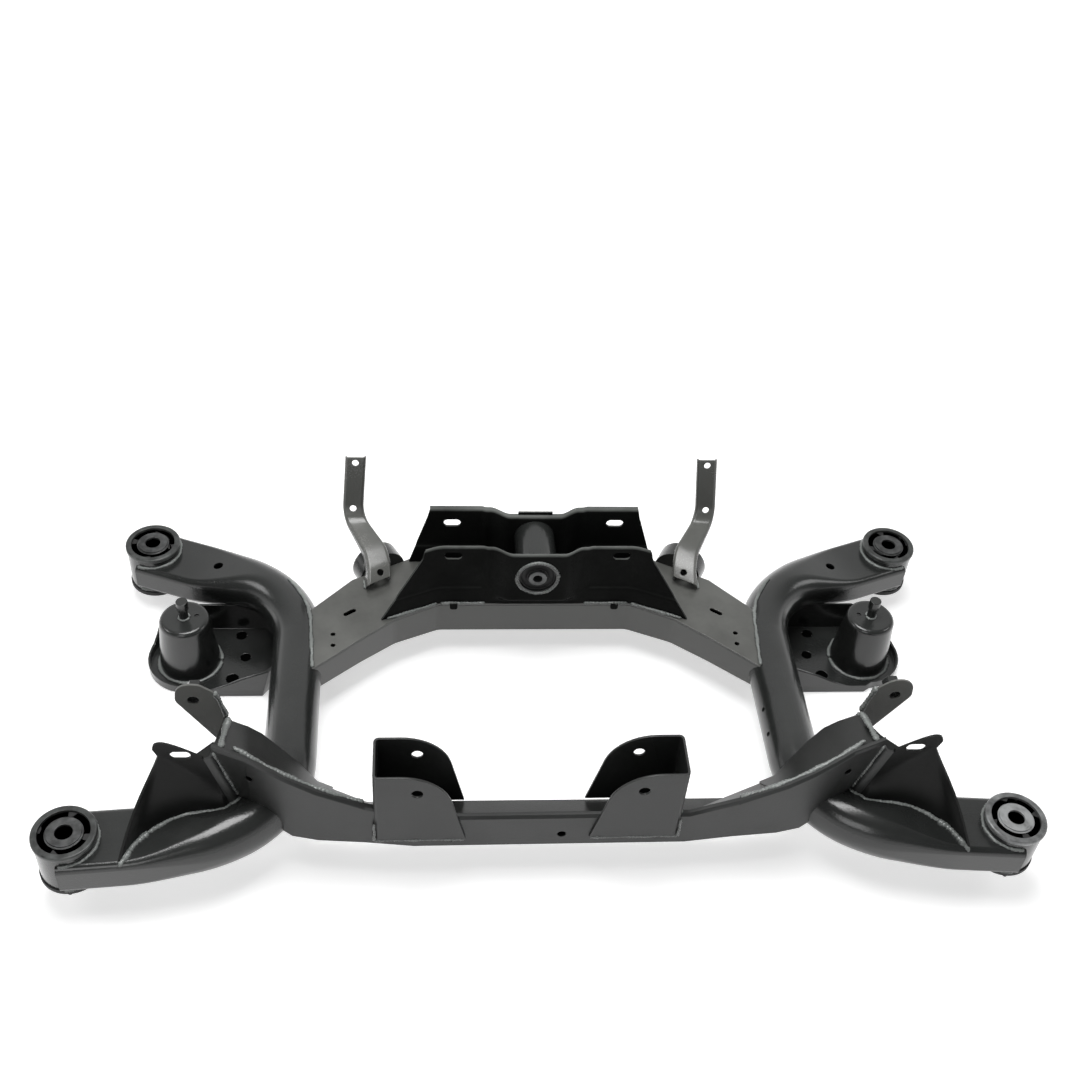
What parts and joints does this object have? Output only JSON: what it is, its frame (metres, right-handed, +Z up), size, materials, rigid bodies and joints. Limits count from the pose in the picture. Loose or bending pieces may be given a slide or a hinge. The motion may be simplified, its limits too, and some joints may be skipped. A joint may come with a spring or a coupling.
{
  "type": "rear subframe",
  "caption": "Welded steel rear subframe: bent side tubes with rubber body bushes, joined by a front and a rear crossmember, with differential mounts, link brackets, stays and spring seats.",
  "frame": {"origin": "middle of the four body bush axes in plan, on the top plane of the front bushes, which is also the middle of the box around the part to within about 1 mm", "axes": "+X to the right side, +Y to the back, +Z up, the way it hangs under a body"},
  "size_m": [1.1632, 0.5655, 0.22],
  "materials": {
    "frame_paint": "glossy black paint over pressed and welded steel",
    "bush_shell": "satin black coated steel",
    "bush_rubber": "matt black rubber",
    "bare_steel": "bare machined steel",
    "stud": "satin black paint"
  },
  "bodies": {
    "root": {"left_side_tube": "frame_paint", "right_side_tube": "frame_paint", "front_left_eye": "frame_paint", "front_right_eye": "frame_paint", "rear_left_eye": "frame_paint", "rear_right_eye": "frame_paint", "front_left_bush_shell": "bush_shell", "front_right_bush_shell": "bush_shell", "rear_left_bush_shell": "bush_shell", "rear_right_bush_shell": "bush_shell", "front_left_bush_rubber": "bush_rubber", "front_right_bush_rubber": "bush_rubber", "rear_left_bush_rubber": "bush_rubber", "rear_right_bush_rubber": "bush_rubber", "front_left_bush_core": "bare_steel", "front_right_bush_core": "bare_steel", "rear_left_bush_core": "bare_steel", "rear_right_bush_core": "bare_steel", "front_beam_shell": "frame_paint", "front_beam_cover": "frame_paint", "left_end_gusset": "frame_paint", "right_end_gusset": "frame_paint", "left_diff_bracket": "frame_paint", "right_diff_bracket": "frame_paint", "left_link_bracket": "frame_paint", "right_link_bracket": "frame_paint", "left_link_nut": "bare_steel", "right_link_nut": "bare_steel", "rear_beam_channel": "frame_paint", "rear_beam_cover": "frame_paint", "diff_front_plate": "frame_paint", "diff_rear_plate": "frame_paint", "diff_bush_housing": "frame_paint", "diff_bush_rubber": "bush_rubber", "diff_bush_sleeve": "bare_steel", "left_stay": "frame_paint", "right_stay": "frame_paint", "left_stay_bracket": "frame_paint", "right_stay_bracket": "frame_paint", "left_spring_tray": "frame_paint", "right_spring_tray": "frame_paint", "left_spring_dome": "frame_paint", "right_spring_dome": "frame_paint", "left_stop_stud": "stud", "right_stop_stud": "stud"}
  },
  "joints": []
}
